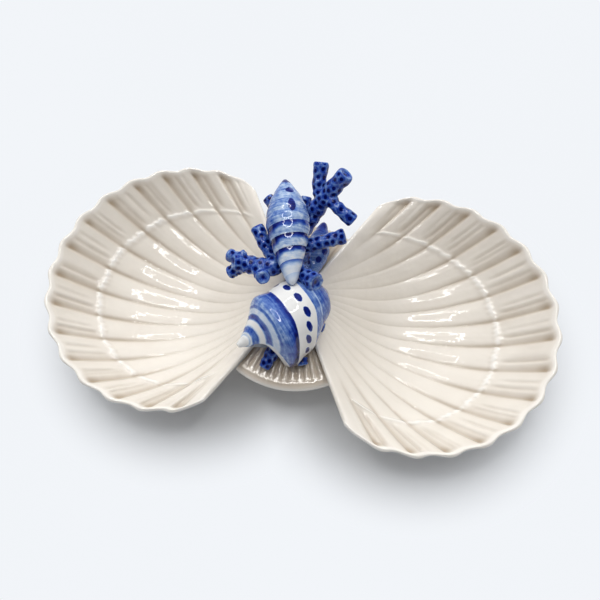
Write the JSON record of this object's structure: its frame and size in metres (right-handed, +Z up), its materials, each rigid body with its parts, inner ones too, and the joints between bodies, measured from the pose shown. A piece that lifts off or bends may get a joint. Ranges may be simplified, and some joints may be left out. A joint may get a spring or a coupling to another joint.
{
  "type": "double shell dish",
  "caption": "Serving dish of two fluted scallop bowls joined by a ribbed hinge plate, with a blue and white handle of sea shells and coral.",
  "frame": {"origin": "on the table, under the middle of the dish", "axes": "+X from the left bowl to the right bowl, +Z up, -Y towards the side where the whelk lies"},
  "size_m": [0.3396, 0.1794, 0.1193],
  "materials": {
    "cream_glaze": "gloss",
    "painted_glaze": "gloss",
    "cobalt_glaze": "gloss"
  },
  "bodies": {
    "root": {"left_shell": "cream_glaze", "right_shell": "cream_glaze", "hinge_fan": "cream_glaze", "whelk_shell": "painted_glaze", "spindle_shell": "painted_glaze", "rear_shell": "painted_glaze", "coral_stem": "cobalt_glaze", "coral_antler": "cobalt_glaze", "coral_right_branch": "cobalt_glaze", "coral_left_arm": "cobalt_glaze", "coral_left_finger": "cobalt_glaze", "coral_cross_branch": "cobalt_glaze", "coral_back_left_finger": "cobalt_glaze", "coral_back_right_finger": "cobalt_glaze", "coral_front_leg": "cobalt_glaze", "coral_front_nub": "cobalt_glaze", "coral_side_nub": "cobalt_glaze"}
  },
  "joints": []
}
